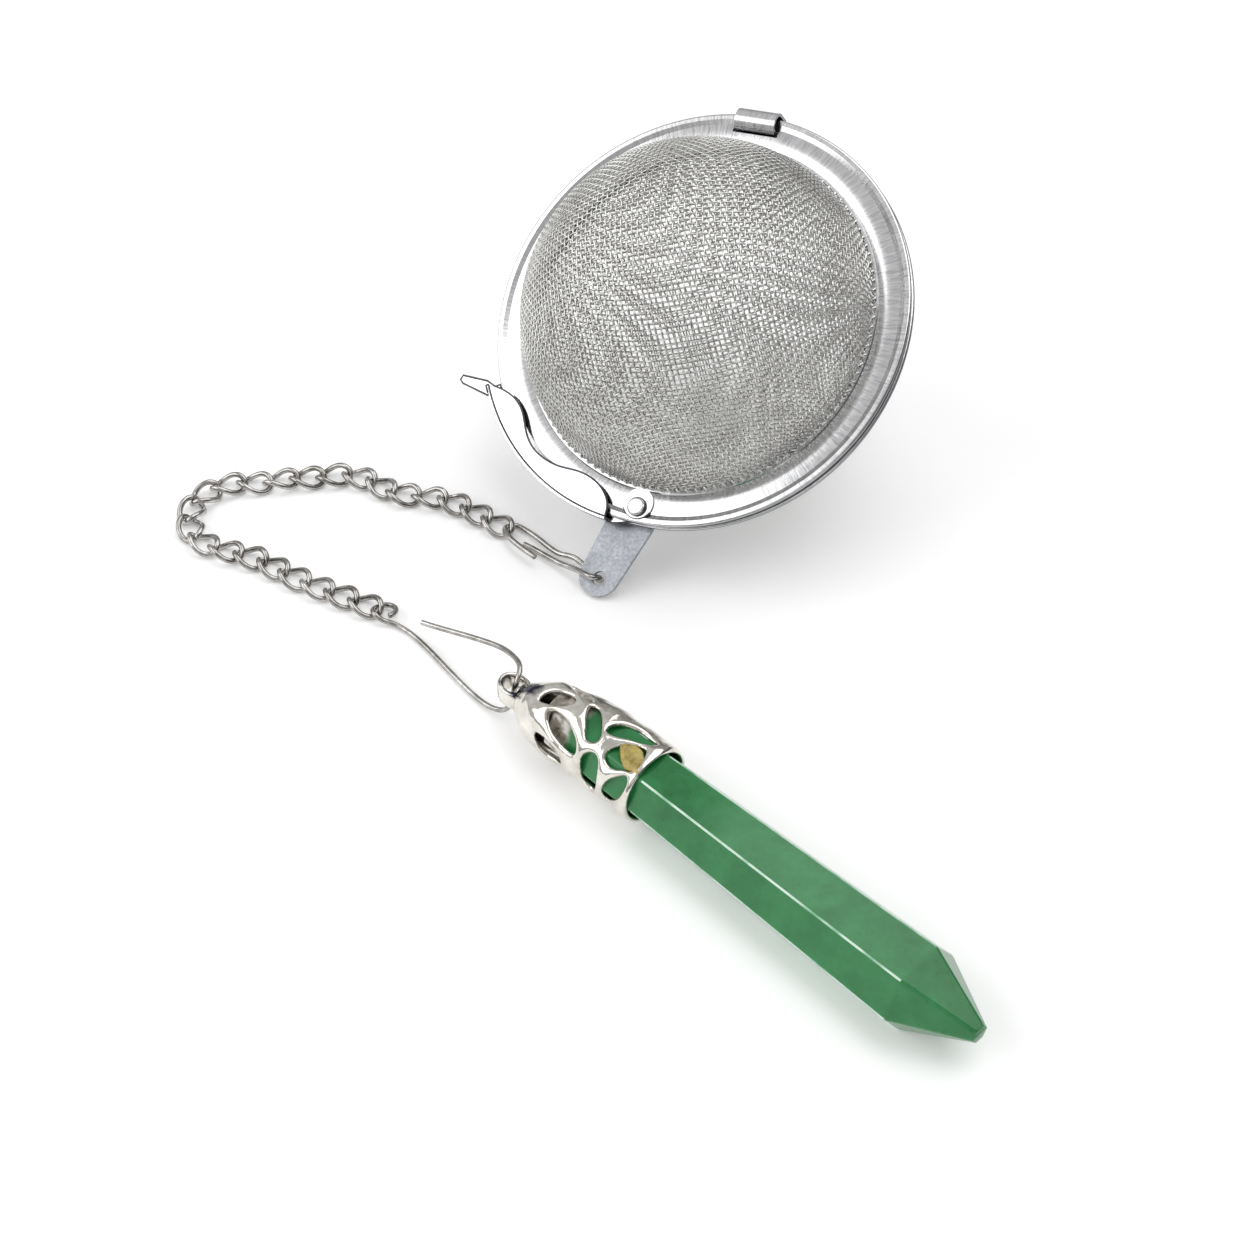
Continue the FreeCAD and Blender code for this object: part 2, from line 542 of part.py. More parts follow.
doc.recompute()
os.makedirs("parts", exist_ok=True)
for o in doc.Objects:
    if "Invalid" in o.State or "Error" in o.State:
        raise RuntimeError("not recomputed: " + o.Label)
for o in nodes:
    sh = o.Shape
    if sh.isNull() or not sh.isValid() or sh.Volume <= 0 or not sh.Solids:
        raise RuntimeError("bad solid: %s valid=%s vol=%s solids=%d" % (o.Label, sh.isValid(), sh.Volume, len(sh.Solids)))
    sh.exportStep("parts/%s.step" % o.Label)
    bb = sh.BoundBox
    print("%-18s vol %8.3f solids %d  x %.2f..%.2f y %.2f..%.2f z %.3f..%.3f" % (o.Label, sh.Volume, len(sh.Solids), bb.XMin, bb.XMax, bb.YMin, bb.YMax, bb.ZMin, bb.ZMax))
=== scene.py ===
import math

import bmesh
import bpy
import numpy as np
from mathutils import Matrix, Vector


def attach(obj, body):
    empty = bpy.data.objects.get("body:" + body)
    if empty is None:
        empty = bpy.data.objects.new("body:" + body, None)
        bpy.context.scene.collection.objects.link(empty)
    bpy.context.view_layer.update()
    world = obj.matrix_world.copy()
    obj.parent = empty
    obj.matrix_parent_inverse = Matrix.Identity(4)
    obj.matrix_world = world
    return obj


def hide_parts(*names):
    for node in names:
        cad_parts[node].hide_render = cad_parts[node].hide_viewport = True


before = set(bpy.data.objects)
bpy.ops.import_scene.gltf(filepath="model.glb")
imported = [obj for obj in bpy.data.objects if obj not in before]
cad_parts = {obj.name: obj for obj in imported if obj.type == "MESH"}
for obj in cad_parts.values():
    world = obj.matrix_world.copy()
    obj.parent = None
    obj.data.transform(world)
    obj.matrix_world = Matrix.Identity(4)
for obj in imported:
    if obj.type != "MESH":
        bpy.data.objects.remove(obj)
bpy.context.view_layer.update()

scene = bpy.context.scene
MM = 0.001


# ---------------------------------------------------------------- camera
cam_data = bpy.data.cameras.new("camera")
cam_data.sensor_fit = "HORIZONTAL"
cam_data.sensor_width = 36.0
cam_data.lens = 80.23
cam_data.clip_start = 0.01
cam_data.clip_end = 20.0
cam = bpy.data.objects.new("camera", cam_data)
cam.location = (-0.0096013, -0.2456837, 0.2206292)
cam.rotation_euler = (math.radians(44.7), 0.0, 0.0)
scene.collection.objects.link(cam)
scene.camera = cam


# ---------------------------------------------------------------- node helpers
def new_material(name):
    m = bpy.data.materials.new(name)
    m.use_nodes = True
    nt = m.node_tree
    nt.nodes.clear()
    out = nt.nodes.new("ShaderNodeOutputMaterial")
    bsdf = nt.nodes.new("ShaderNodeBsdfPrincipled")
    nt.links.new(bsdf.outputs[0], out.inputs[0])
    return m, nt, bsdf


def coords(nt, scale=(1, 1, 1), rotation=(0, 0, 0), location=(0, 0, 0)):
    tc = nt.nodes.new("ShaderNodeTexCoord")
    mp = nt.nodes.new("ShaderNodeMapping")
    mp.inputs["Scale"].default_value = scale
    mp.inputs["Rotation"].default_value = rotation
    mp.inputs["Location"].default_value = location
    nt.links.new(tc.outputs["Object"], mp.inputs["Vector"])
    return mp.outputs[0]


def noise(nt, vec, scale, detail=2.0, rough=0.5, distort=0.0):
    n = nt.nodes.new("ShaderNodeTexNoise")
    n.inputs["Scale"].default_value = scale
    n.inputs["Detail"].default_value = detail
    n.inputs["Roughness"].default_value = rough
    n.inputs["Distortion"].default_value = distort
    nt.links.new(vec, n.inputs["Vector"])
    return n.outputs["Fac"]


def ramp(nt, fac, stops, mode="LINEAR"):
    r = nt.nodes.new("ShaderNodeValToRGB")
    r.color_ramp.interpolation = mode
    el = r.color_ramp.elements
    while len(el) < len(stops):
        el.new(0.5)
    for e, (p, c) in zip(el, stops):
        e.position = p
        e.color = (*c, 1.0) if len(c) == 3 else c
    nt.links.new(fac, r.inputs[0])
    return r.outputs[0]


def span(nt, fac, lo, hi):
    r = nt.nodes.new("ShaderNodeMapRange")
    r.inputs["To Min"].default_value = lo
    r.inputs["To Max"].default_value = hi
    nt.links.new(fac, r.inputs["Value"])
    return r.outputs[0]


def bump(nt, height, strength, distance, normal=None):
    b = nt.nodes.new("ShaderNodeBump")
    b.inputs["Strength"].default_value = strength
    b.inputs["Distance"].default_value = distance
    nt.links.new(height, b.inputs["Height"])
    if normal is not None:
        nt.links.new(normal, b.inputs["Normal"])
    return b.outputs[0]


def math_node(nt, op, a, b=None):
    n = nt.nodes.new("ShaderNodeMath")
    n.operation = op
    for k, v in enumerate((a, b)):
        if v is None:
            continue
        if isinstance(v, (int, float)):
            n.inputs[k].default_value = v
        else:
            nt.links.new(v, n.inputs[k])
    return n.outputs[0]


def mix_color(nt, fac, a, b):
    n = nt.nodes.new("ShaderNodeMix")
    n.data_type = "RGBA"
    for key, v in (("Factor", fac), ("A", a), ("B", b)):
        if isinstance(v, (int, float)):
            n.inputs[key].default_value = v
        elif isinstance(v, tuple):
            n.inputs[key].default_value = (*v, 1.0)
        else:
            nt.links.new(v, n.inputs[key])
    return n.outputs["Result"]


# ---------------------------------------------------------------- frames of the ball and the pendant
def rotation_from(x, y, z):
    return Matrix((x, y, z)).transposed()


el, az = math.radians(54.6), math.radians(-127.74)
nrm = Vector((math.cos(el) * math.cos(az), math.cos(el) * math.sin(az), math.sin(el)))
slope = (Vector((0, 0, 1)) - nrm * nrm.z).normalized()
level = slope.cross(nrm)
turn = math.radians(14.2)
by = slope * math.cos(turn) - level * math.sin(turn)
bx = by.cross(nrm)
BALL = Matrix.Translation(Vector((0, 0, 20.8)) * MM) @ rotation_from(bx, by, nrm).to_4x4()

pa = math.radians(-45.4)
pu = Vector((math.cos(pa), math.sin(pa), -0.0066)).normalized()
pside = Vector((-math.sin(pa), math.cos(pa), 0))
pup = pu.cross(pside)
PEND = Matrix.Translation(Vector((-31.29 + 0.702 * 22, -30.85 - 0.712 * 22, 4.87)) * MM) @ rotation_from(pu, pside, pup).to_4x4()


def local_xyz(nt, matrix):
    """Separate coordinates in a rotated frame, in metres."""
    tc = nt.nodes.new("ShaderNodeTexCoord")
    mp = nt.nodes.new("ShaderNodeMapping")
    inv = matrix.inverted()
    mp.inputs["Location"].default_value = inv.translation
    mp.inputs["Rotation"].default_value = inv.to_euler("XYZ")
    nt.links.new(tc.outputs["Object"], mp.inputs["Vector"])
    sep = nt.nodes.new("ShaderNodeSeparateXYZ")
    nt.links.new(mp.outputs[0], sep.inputs[0])
    return sep.outputs


def step(nt, value, a, b):
    """0 at a, 1 at b, clamped."""
    r = nt.nodes.new("ShaderNodeMapRange")
    r.inputs["From Min"].default_value = a
    r.inputs["From Max"].default_value = b
    nt.links.new(value, r.inputs["Value"])
    return r.outputs[0]


def flatness(nt, lo, hi):
    """1 on faces that lie in the flange plane, 0 on the cut edges that stand across it."""
    tc = nt.nodes.new("ShaderNodeTexCoord")
    vm = nt.nodes.new("ShaderNodeVectorMath")
    vm.operation = "DOT_PRODUCT"
    nt.links.new(tc.outputs["Normal"], vm.inputs[0])
    vm.inputs[1].default_value = tuple(nrm)
    r = nt.nodes.new("ShaderNodeMapRange")
    r.inputs["From Min"].default_value = lo
    r.inputs["From Max"].default_value = hi
    nt.links.new(math_node(nt, "ABSOLUTE", vm.outputs["Value"]), r.inputs["Value"])
    return r.outputs[0]


def mesh_object(name, verts, faces, matrix, material, body, smooth=True):
    """verts in millimetres in the given frame."""
    me = bpy.data.meshes.new(name)
    v = np.asarray(verts, float) * MM
    m = np.array(matrix)
    v = v @ m[:3, :3].T + m[:3, 3]
    f = np.asarray(faces) if not isinstance(faces, list) else faces
    me.from_pydata(v.tolist(), [], f.tolist() if isinstance(f, np.ndarray) else f)
    me.update()
    if smooth:
        me.polygons.foreach_set("use_smooth", [True] * len(me.polygons))
    ob = bpy.data.objects.new(name, me)
    scene.collection.objects.link(ob)
    me.materials.append(material)
    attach(ob, body)
    return ob


# ---------------------------------------------------------------- materials
def steel_ring():
    """Pressed stainless ring: fine radial strokes, cloudy roughness, painted shade on its edge faces."""
    m, nt, b = new_material("ring_steel")
    tc = nt.nodes.new("ShaderNodeTexCoord")
    # polar coordinates about the flange axis
    mp = nt.nodes.new("ShaderNodeMapping")
    inv = BALL.inverted()
    mp.inputs["Location"].default_value = inv.translation
    mp.inputs["Rotation"].default_value = inv.to_euler("XYZ")
    nt.links.new(tc.outputs["Object"], mp.inputs["Vector"])
    sep = nt.nodes.new("ShaderNodeSeparateXYZ")
    nt.links.new(mp.outputs[0], sep.inputs[0])
    ang = math_node(nt, "ARCTAN2", sep.outputs[1], sep.outputs[0])
    rad = math_node(nt, "SQRT", math_node(nt, "ADD", math_node(nt, "MULTIPLY", sep.outputs[0], sep.outputs[0]),
                                          math_node(nt, "MULTIPLY", sep.outputs[1], sep.outputs[1])))
    cmb = nt.nodes.new("ShaderNodeCombineXYZ")
    ca = math_node(nt, "COSINE", ang)
    sa = math_node(nt, "SINE", ang)
    nt.links.new(math_node(nt, "MULTIPLY", ca, 90.0), cmb.inputs[0])
    nt.links.new(math_node(nt, "MULTIPLY", sa, 90.0), cmb.inputs[1])
    nt.links.new(math_node(nt, "MULTIPLY", rad, 500.0), cmb.inputs[2])
    strokes = noise(nt, cmb.outputs[0], 1.0, 4.0, 0.65)
    cloud = noise(nt, coords(nt, (1, 1, 1)), 260.0, 3.0, 0.6)
    grain = noise(nt, coords(nt, (1, 1, 1)), 5200.0, 2.0, 0.6)
    col = ramp(nt, strokes, [(0.3, (0.54, 0.54, 0.56)), (0.5, (0.68, 0.68, 0.69)), (0.7, (0.78, 0.78, 0.78))])
    # painted shade: a dark colour on the ring's edge faces that stand across the flange plane
    col = mix_color(nt, flatness(nt, 0.25, 0.80), (0.20, 0.20, 0.215), col)
    nt.links.new(col, b.inputs["Base Color"])
    b.inputs["Metallic"].default_value = 1.0
    rr = math_node(nt, "ADD", span(nt, strokes, 0.08, 0.22), span(nt, cloud, -0.04, 0.08))
    nt.links.new(rr, b.inputs["Roughness"])
    h = math_node(nt, "ADD", math_node(nt, "MULTIPLY", strokes, 1.0), math_node(nt, "MULTIPLY", grain, 0.35))
    nt.links.new(bump(nt, h, 0.14, 0.00005), b.inputs["Normal"])
    return m


def steel_wire(name, dark, light, lo, hi, grain_scale=900.0, bump_d=0.00002):
    m, nt, b = new_material(name)
    vec = coords(nt)
    n1 = noise(nt, vec, grain_scale, 3.0, 0.6)
    n2 = noise(nt, vec, 170.0, 2.0, 0.5)
    mixn = math_node(nt, "ADD", math_node(nt, "MULTIPLY", n1, 0.6), math_node(nt, "MULTIPLY", n2, 0.4))
    nt.links.new(ramp(nt, mixn, [(0.32, dark), (0.66, light)]), b.inputs["Base Color"])
    b.inputs["Metallic"].default_value = 1.0
    nt.links.new(span(nt, mixn, lo, hi), b.inputs["Roughness"])
    nt.links.new(bump(nt, n1, 0.3, bump_d), b.inputs["Normal"])
    return m


def lever_material():
    """Polished pressed strip; its cut edges carry painted shade, a near-black colour standing for the dark outline
    along them.
    """
    m, nt, b = new_material("lever_steel")
    vec = coords(nt)
    n1 = noise(nt, vec, 500.0, 3.0, 0.6)
    face = ramp(nt, n1, [(0.32, (0.78, 0.78, 0.79)), (0.66, (0.90, 0.90, 0.90))])
    f = flatness(nt, 0.45, 0.85)
    # painted shade: near-black on the cut edges that stand across the flange plane, the polished colour on the flat
    # faces
    nt.links.new(mix_color(nt, f, (0.085, 0.085, 0.10), face), b.inputs["Base Color"])
    b.inputs["Metallic"].default_value = 1.0
    nt.links.new(span(nt, n1, 0.10, 0.22), b.inputs["Roughness"])
    nt.links.new(bump(nt, n1, 0.3, 0.00003), b.inputs["Normal"])
    return m


def tab_material():
    m, nt, b = new_material("tab_steel")
    vec = coords(nt)
    n1 = noise(nt, vec, 2600.0, 4.0, 0.7)
    n2 = noise(nt, coords(nt, (1, 1, 1)), 420.0, 3.0, 0.6)
    mixn = math_node(nt, "ADD", math_node(nt, "MULTIPLY", n1, 0.65), math_node(nt, "MULTIPLY", n2, 0.35))
    nt.links.new(ramp(nt, mixn, [(0.3, (0.20, 0.21, 0.23)), (0.5, (0.33, 0.345, 0.37)), (0.7, (0.56, 0.57, 0.60))]), b.inputs["Base Color"])
    b.inputs["Metallic"].default_value = 1.0
    nt.links.new(span(nt, mixn, 0.28, 0.55), b.inputs["Roughness"])
    nt.links.new(bump(nt, mixn, 0.5, 0.00008), b.inputs["Normal"])
    return m


def crystal_material():
    """Green aventurine: cloudy body colour, faint flecks, polished."""
    m, nt, b = new_material("crystal")
    vec = coords(nt)
    big = noise(nt, vec, 95.0, 4.0, 0.6, 0.4)
    fine = noise(nt, vec, 620.0, 4.0, 0.65)
    mixn = math_node(nt, "ADD", math_node(nt, "MULTIPLY", big, 0.65), math_node(nt, "MULTIPLY", fine, 0.35))
    col = ramp(nt, mixn, [(0.28, (0.014, 0.125, 0.034)), (0.46, (0.022, 0.182, 0.052)), (0.60, (0.032, 0.225, 0.070)), (0.78, (0.060, 0.29, 0.110))])
    vor = nt.nodes.new("ShaderNodeTexVoronoi")
    vor.inputs["Scale"].default_value = 900.0
    nt.links.new(vec, vor.inputs["Vector"])
    fl = nt.nodes.new("ShaderNodeMapRange")
    fl.inputs["From Min"].default_value = 0.0
    fl.inputs["From Max"].default_value = 0.22
    fl.inputs["To Min"].default_value = 0.45
    fl.inputs["To Max"].default_value = 0.0
    nt.links.new(vor.outputs["Distance"], fl.inputs["Value"])
    mx = nt.nodes.new("ShaderNodeMix")
    mx.data_type = "RGBA"
    nt.links.new(fl.outputs[0], mx.inputs["Factor"])
    nt.links.new(col, mx.inputs["A"])
    mx.inputs["B"].default_value = (0.012, 0.085, 0.035, 1)
    # the end inside the cap is coated with clouded resin
    x = local_xyz(nt, PEND)[0]
    resin = ramp(nt, fine, [(0.36, (0.10, 0.085, 0.06)), (0.5, (0.30, 0.27, 0.22)), (0.62, (0.66, 0.64, 0.60))])
    seam = step(nt, math_node(nt, "ADD", x, span(nt, big, -0.0012, 0.0012)), 0.0040, 0.0050)
    nt.links.new(mix_color(nt, seam, resin, mx.outputs["Result"]), b.inputs["Base Color"])
    b.inputs["Roughness"].default_value = 0.12
    b.inputs["IOR"].default_value = 1.54
    b.inputs["Specular IOR Level"].default_value = 0.38
    b.inputs["Subsurface Weight"].default_value = 0.15
    b.inputs["Subsurface Radius"].default_value = (0.6, 1.0, 0.7)
    b.inputs["Subsurface Scale"].default_value = 0.003
    nt.links.new(span(nt, fine, 0.04, 0.11), b.inputs["Roughness"])
    nt.links.new(bump(nt, big, 0.08, 0.0002), b.inputs["Normal"])
    return m


def edge_highlight_material():
    """Painted highlight: a pale colour on the stone's bevelled edges, standing for the bright reflection along them.
    """
    m, nt, b = new_material("crystal_edge_highlight")
    n1 = noise(nt, coords(nt), 240.0, 3.0, 0.6)
    nt.links.new(ramp(nt, n1, [(0.32, (0.16, 0.42, 0.24)), (0.55, (0.62, 0.80, 0.68))]), b.inputs["Base Color"])
    nt.links.new(span(nt, n1, 0.10, 0.25), b.inputs["Roughness"])
    return m


def silver_material():
    m, nt, b = new_material("cap_silver")
    vec = coords(nt)
    n1 = noise(nt, vec, 420.0, 3.0, 0.6)
    n2 = noise(nt, vec, 2200.0, 3.0, 0.6)
    bright = ramp(nt, n1, [(0.3, (0.58, 0.55, 0.49)), (0.65, (0.84, 0.82, 0.76))])
    # painted shade: a near-black patch in the hollow along the bail and neck
    x, y, z = local_xyz(nt, PEND)[:3]
    wob = span(nt, n1, -0.0011, 0.0011)
    across = math_node(nt, "ABSOLUTE", math_node(nt, "ADD", math_node(nt, "ADD", y, 0.0013), wob))
    m1 = step(nt, across, 0.0010, 0.0006)
    m2 = step(nt, math_node(nt, "ADD", x, wob), -0.0008, -0.0020)
    m3 = step(nt, z, -0.0003, 0.0004)
    m4 = step(nt, x, -0.0078, -0.0070)
    hollow_shade_mask = math_node(nt, "MULTIPLY", math_node(nt, "MULTIPLY", m1, m2), math_node(nt, "MULTIPLY", m3, m4))
    nt.links.new(mix_color(nt, hollow_shade_mask, bright, (0.03, 0.03, 0.055)), b.inputs["Base Color"])
    b.inputs["Metallic"].default_value = 1.0
    nt.links.new(span(nt, n1, 0.04, 0.13), b.inputs["Roughness"])
    h = math_node(nt, "ADD", n1, math_node(nt, "MULTIPLY", n2, 0.2))
    nt.links.new(bump(nt, h, 0.25, 0.00025), b.inputs["Normal"])
    return m


def glue_material(name, dark, light):
    m, nt, b = new_material(name)
    n1 = noise(nt, coords(nt), 700.0, 3.0, 0.6)
    nt.links.new(ramp(nt, n1, [(0.34, dark), (0.66, light)]), b.inputs["Base Color"])
    nt.links.new(span(nt, n1, 0.15, 0.35), b.inputs["Roughness"])
    nt.links.new(bump(nt, n1, 0.5, 0.0004), b.inputs["Normal"])
    return m


RING = steel_ring()
MESH = steel_wire("mesh_steel", (0.49, 0.48, 0.46), (0.80, 0.80, 0.78), 0.12, 0.28)
MESH_BRIGHT = steel_wire("crimp_steel", (0.55, 0.54, 0.52), (0.92, 0.92, 0.91), 0.08, 0.22)
TAB = tab_material()
LEVER = lever_material()
CHAIN = steel_wire("chain_steel", (0.22, 0.205, 0.19), (0.60, 0.585, 0.57), 0.10, 0.26)
CRYSTAL = crystal_material()
STONE_EDGE_HIGHLIGHT = edge_highlight_material()
SILVER = silver_material()
GLUE = glue_material("adhesive", (0.25, 0.18, 0.035), (0.60, 0.48, 0.13))
RESIN = glue_material("resin_clouded", (0.09, 0.075, 0.055), (0.46, 0.43, 0.38))
# near-black wire colour for the painted shade lines along the cut edges
EDGE_SHADE = steel_wire("edge_painted_shade", (0.05, 0.05, 0.06), (0.16, 0.16, 0.175), 0.2, 0.36)

for name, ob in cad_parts.items():
    if name in ("back_ring", "front_ring", "hinge_clip"):
        mat = RING
    elif name in ("chain_tab", "tab_welds"):
        mat = TAB
    elif name.startswith("latch_"):
        mat = LEVER
    elif name.startswith("chain_link") or name in ("clasp", "pendant_hook"):
        mat = CHAIN
    elif name == "cap_adhesive":
        mat = RESIN
    elif name == "crystal":
        mat = CRYSTAL
    elif name == "pendant_cap":
        mat = SILVER
    else:
        mat = MESH
    ob.data.materials.clear()
    ob.data.materials.append(mat)


# ---------------------------------------------------------------- woven wire bowls
def net_on_sphere(radius, pitch, turn_deg, sign, z_min):
    """Equal-length net (each cell a rhombus) on a sphere, from two crossing great circles through the pole."""
    n = int(math.ceil(math.radians(97) * radius / pitch))
    size = 2 * n + 1
    step = pitch / radius
    P = np.full((size, size, 3), np.nan)
    t = math.radians(turn_deg)
    ex = np.array([math.cos(t), math.sin(t), 0.0])
    ey = np.array([-math.sin(t), math.cos(t), 0.0])
    pole = np.array([0.0, 0.0, float(sign)])
    for k in range(-n, n + 1):
        P[n + k, n] = pole * math.cos(k * step) + ex * math.sin(k * step)
        P[n, n + k] = pole * math.cos(k * step) + ey * math.sin(k * step)
    for si in (1, -1):
        for sj in (1, -1):
            for i in range(1, n + 1):
                for j in range(1, n + 1):
                    D, A, B = P[n + si * (i - 1), n + sj * (j - 1)], P[n + si * (i - 1), n + sj * j], P[n + si * i, n + sj * (j - 1)]
                    if np.isnan(D[0]) or np.isnan(A[0]) or np.isnan(B[0]):
                        continue
                    if A[2] * sign < -0.25 and B[2] * sign < -0.25:
                        continue
                    d = A - B
                    if d @ d < (0.18 * step) ** 2:
                        continue
                    m = np.cross(A, B)
                    l = np.linalg.norm(m)
                    if l < 1e-9:
                        continue
                    m /= l
                    P[n + si * i, n + sj * j] = D - 2 * (D @ m) * m
    return P * radius, n


def tube(path, normals, r, sides, verts, faces, uvs, closed_ends=True):
    """One wire through path (k,3) with outward normals (k,3)."""
    k = len(path)
    if k < 2:
        return
    t = np.zeros_like(path)
    t[1:-1] = path[2:] - path[:-2]
    t[0] = path[1] - path[0]
    t[-1] = path[-1] - path[-2]
    t /= np.linalg.norm(t, axis=1)[:, None]
    side = np.cross(t, normals)
    side /= np.linalg.norm(side, axis=1)[:, None]
    up = np.cross(side, t)
    base = sum(len(v) for v in verts)
    ang = np.arange(sides) * (2 * math.pi / sides) + math.pi / sides
    ring = path[:, None, :] + r * (np.cos(ang)[None, :, None] * side[:, None, :] + np.sin(ang)[None, :, None] * up[:, None, :])
    verts.append(ring.reshape(-1, 3))
    a = np.arange(k - 1)[:, None] * sides + np.arange(sides)[None, :]
    b = np.arange(k - 1)[:, None] * sides + (np.arange(sides)[None, :] + 1) % sides
    q = np.stack([a, b, b + sides, a + sides], axis=-1).reshape(-1, 4) + base
    faces.append(q)


def woven(name, sign, turn_deg, body, node, radius=20.55, pitch=0.655, wire=0.108, amp=0.098, z_min=0.45, sides=6):
    P, n = net_on_sphere(radius, pitch, turn_deg, sign, z_min)
    size = 2 * n + 1
    ok = ~np.isnan(P[:, :, 0]) & (np.nan_to_num(P[:, :, 2]) * sign >= z_min)
    made = []
    for direction, label in ((0, "warp"), (1, "weft")):
        verts, faces, uvs = [], [], []
        for w in range(size):
            line = P[:, w] if direction == 0 else P[w, :]
            good = ok[:, w] if direction == 0 else ok[w, :]
            k = 0
            while k < size:
                if not good[k]:
                    k += 1
                    continue
                e = k
                while e + 1 < size and good[e + 1]:
                    e += 1
                if e - k >= 2:
                    pts = line[k:e + 1]
                    nn = pts / np.linalg.norm(pts, axis=1)[:, None]
                    par = np.array([1 if (w + q) % 2 else -1 for q in range(k, e + 1)], float)
                    if direction == 1:
                        par = -par
                    off = pts + nn * (amp * par)[:, None]
                    mid = (pts[1:] + pts[:-1]) * 0.5
                    mid = mid / np.linalg.norm(mid, axis=1)[:, None] * radius
                    allp = np.empty((2 * len(pts) - 1, 3))
                    allp[0::2] = off
                    allp[1::2] = mid
                    nrmls = allp / np.linalg.norm(allp, axis=1)[:, None]
                    tube(allp, nrmls, wire, sides, verts, faces, uvs)
                k = e + 1
        V = np.concatenate(verts)
        F = np.concatenate(faces)
        ob = mesh_object(f"{name}_{label}", V, F, BALL, MESH, body)
        lay_uv(ob)
        made.append(ob)
    return made


def lay_uv(ob):
    """Flat layout with each face in its own square of a grid, so a heavy wire piece needs no unwrapping."""
    me = ob.data
    uv = me.uv_layers.new(name="OFBake")
    nf = len(me.polygons)
    cols = int(math.ceil(math.sqrt(nf)))
    idx = np.arange(nf)
    cx, cy = (idx % cols) / cols, (idx // cols) / cols
    s = 0.9 / cols
    quad = np.array([[0, 0], [s, 0], [s, s], [0, s]])
    co = (np.stack([cx, cy], axis=1)[:, None, :] + quad[None]).reshape(-1)
    uv.data.foreach_set("uv", co.astype(np.float32))


front = woven("front_weave", 1, 22.0, "lid", "front_mesh")
back = woven("back_weave", -1, 29.0, "bowl", "back_mesh")
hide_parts("front_mesh")
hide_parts("back_mesh")


def crimp(name, sign, body, rad=20.95, z0=0.95, waves=118):
    """Cut edge of the cloth, folded and pinched under the ring's inner edge: a wavy strand with stubby ends."""
    verts, faces = [], []
    n = waves * 8
    t = np.arange(n + 1) * (2 * math.pi / n)
    rr = rad - 0.30 + 0.22 * np.sin(t * waves)
    zz = sign * (z0 + 0.20 * np.cos(t * waves) + 0.05 * np.sin(t * 7))
    path = np.stack([rr * np.cos(t), rr * np.sin(t), zz], axis=1)
    out = np.stack([0.5 * np.cos(t), 0.5 * np.sin(t), np.full(n + 1, 0.85 * sign)], axis=1)
    tube(path, out / np.linalg.norm(out, axis=1)[:, None], 0.13, 6, verts, faces, None)
    ob = mesh_object(name, np.concatenate(verts), np.concatenate(faces), BALL, MESH_BRIGHT, body)
    lay_uv(ob)
    return ob


def edge_shade_line(name, node, body, r, low=0.55, high=0.85, rmin=0.0):
    """Painted shade: a fine near-black rounded tube along the cut outline of a stamped sheet, traced from the
    sheet's own edges, standing for the dark line of shade there.
    """
    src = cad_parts[node]
    bm = bmesh.new()
    bm.from_mesh(src.data)
    bm.transform(src.matrix_world)
    bmesh.ops.remove_doubles(bm, verts=bm.verts[:], dist=1e-6)
    bm.normal_update()
    inv = BALL.inverted()
    adj = {}
    for e in bm.edges:
        if len(e.link_faces) != 2:
            continue
        d = sorted(f.normal.dot(nrm) for f in e.link_faces)
        if d[1] > high and abs(d[0]) < low:
            a, b = e.verts
            if rmin and min((inv @ a.co).xy.length, (inv @ b.co).xy.length) < rmin * MM:
                continue
            adj.setdefault(a.index, []).append(b.index)
            adj.setdefault(b.index, []).append(a.index)
    bm.verts.ensure_lookup_table()
    co = {i: np.array(bm.verts[i].co) / MM for i in adj}
    bm.free()
    verts, faces, seen = [], [], set()
    starts = [i for i in adj if len(adj[i]) != 2] + list(adj)
    up = np.array(nrm)
    for s0 in starts:
        for nxt in adj[s0]:
            if (s0, nxt) in seen:
                continue
            path = [s0, nxt]
            seen.update({(s0, nxt), (nxt, s0)})
            while len(adj[path[-1]]) == 2:
                c = [k for k in adj[path[-1]] if (path[-1], k) not in seen]
                if not c:
                    break
                seen.update({(path[-1], c[0]), (c[0], path[-1])})
                path.append(c[0])
            pts = np.array([co[k] for k in path])
            keep = [0] + [k for k in range(1, len(pts)) if np.linalg.norm(pts[k] - pts[k - 1]) > 1e-4]
            pts = pts[keep]
            if len(pts) >= 2:
                tube(pts, np.tile(up, (len(pts), 1)), r, 6, verts, faces, None)
    if not verts:
        return None
    ob = mesh_object(name, np.concatenate(verts), np.concatenate(faces), Matrix.Identity(4), EDGE_SHADE, body)
    lay_uv(ob)
    return ob


# painted shade lines along the cut outlines of the latch lever, the flap and the front ring
edge_shade_line("edge_lever", "latch_lever", "latch", 0.11)
edge_shade_line("edge_flap", "latch_flap", "latch", 0.13)
edge_shade_line("edge_ring_front", "front_ring", "lid", 0.06, 0.7, 0.72, 23.5)
crimp("front_crimp", 1, "lid")
crimp("back_crimp", -1, "bowl")


